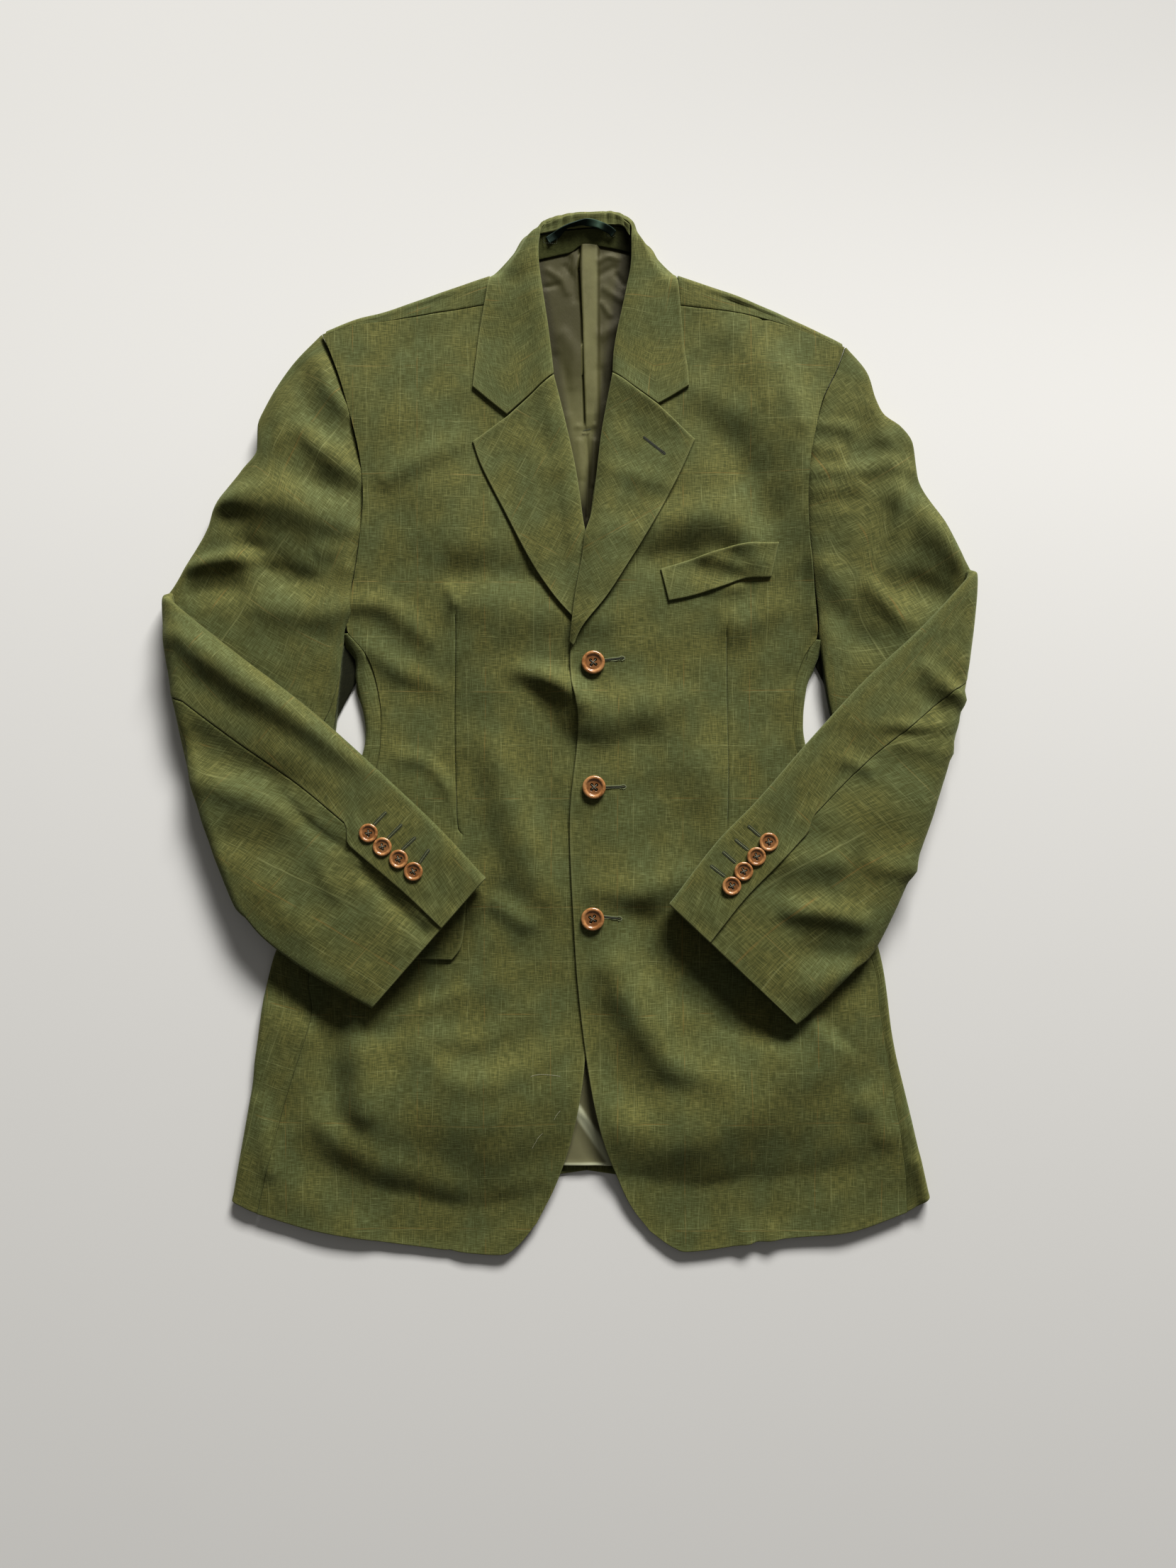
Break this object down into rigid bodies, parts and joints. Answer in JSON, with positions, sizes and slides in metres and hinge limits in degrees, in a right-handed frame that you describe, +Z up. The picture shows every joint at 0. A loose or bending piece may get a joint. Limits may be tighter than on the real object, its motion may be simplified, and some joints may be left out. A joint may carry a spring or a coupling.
{
  "type": "fitted blazer, single-breasted, laid flat",
  "caption": "Single-breasted notch-lapel blazer laid flat on its back, front buttoned, sleeves folded in over the skirt.",
  "frame": {"origin": "middle of the blazer's plan, on the surface that it lies on", "axes": "+Z up from the surface, +Y towards the collar, +X towards the wearer's left side"},
  "size_m": [0.6666, 0.8498, 0.0269],
  "materials": {
    "cloth": "olive linen-like plain weave with slubs and faint pale threads",
    "satin": "dark green satin ribbon",
    "lining": "smooth olive-tan lining with a soft sheen",
    "horn": "tan-brown imitation horn, turned and polished"
  },
  "bodies": {
    "root": {"back_right": "cloth", "back_left": "cloth", "side_right": "cloth", "side_left": "cloth", "front_right": "cloth", "front_left": "cloth", "lapel_right": "cloth", "lapel_left": "cloth", "collar": "cloth", "collar_stand": "cloth", "neck_facing": "cloth", "top_sleeve_right": "cloth", "under_sleeve_right": "cloth", "top_sleeve_left": "cloth", "under_sleeve_left": "cloth", "chest_welt": "cloth", "pocket_flap": "cloth", "hanger_loop": "satin", "back_lining": "lining", "front_button_1": "horn", "front_button_2": "horn", "front_button_3": "horn", "cuff_button_right_1": "horn", "cuff_button_right_2": "horn", "cuff_button_right_3": "horn", "cuff_button_right_4": "horn", "cuff_button_left_1": "horn", "cuff_button_left_2": "horn", "cuff_button_left_3": "horn", "cuff_button_left_4": "horn"}
  },
  "joints": []
}
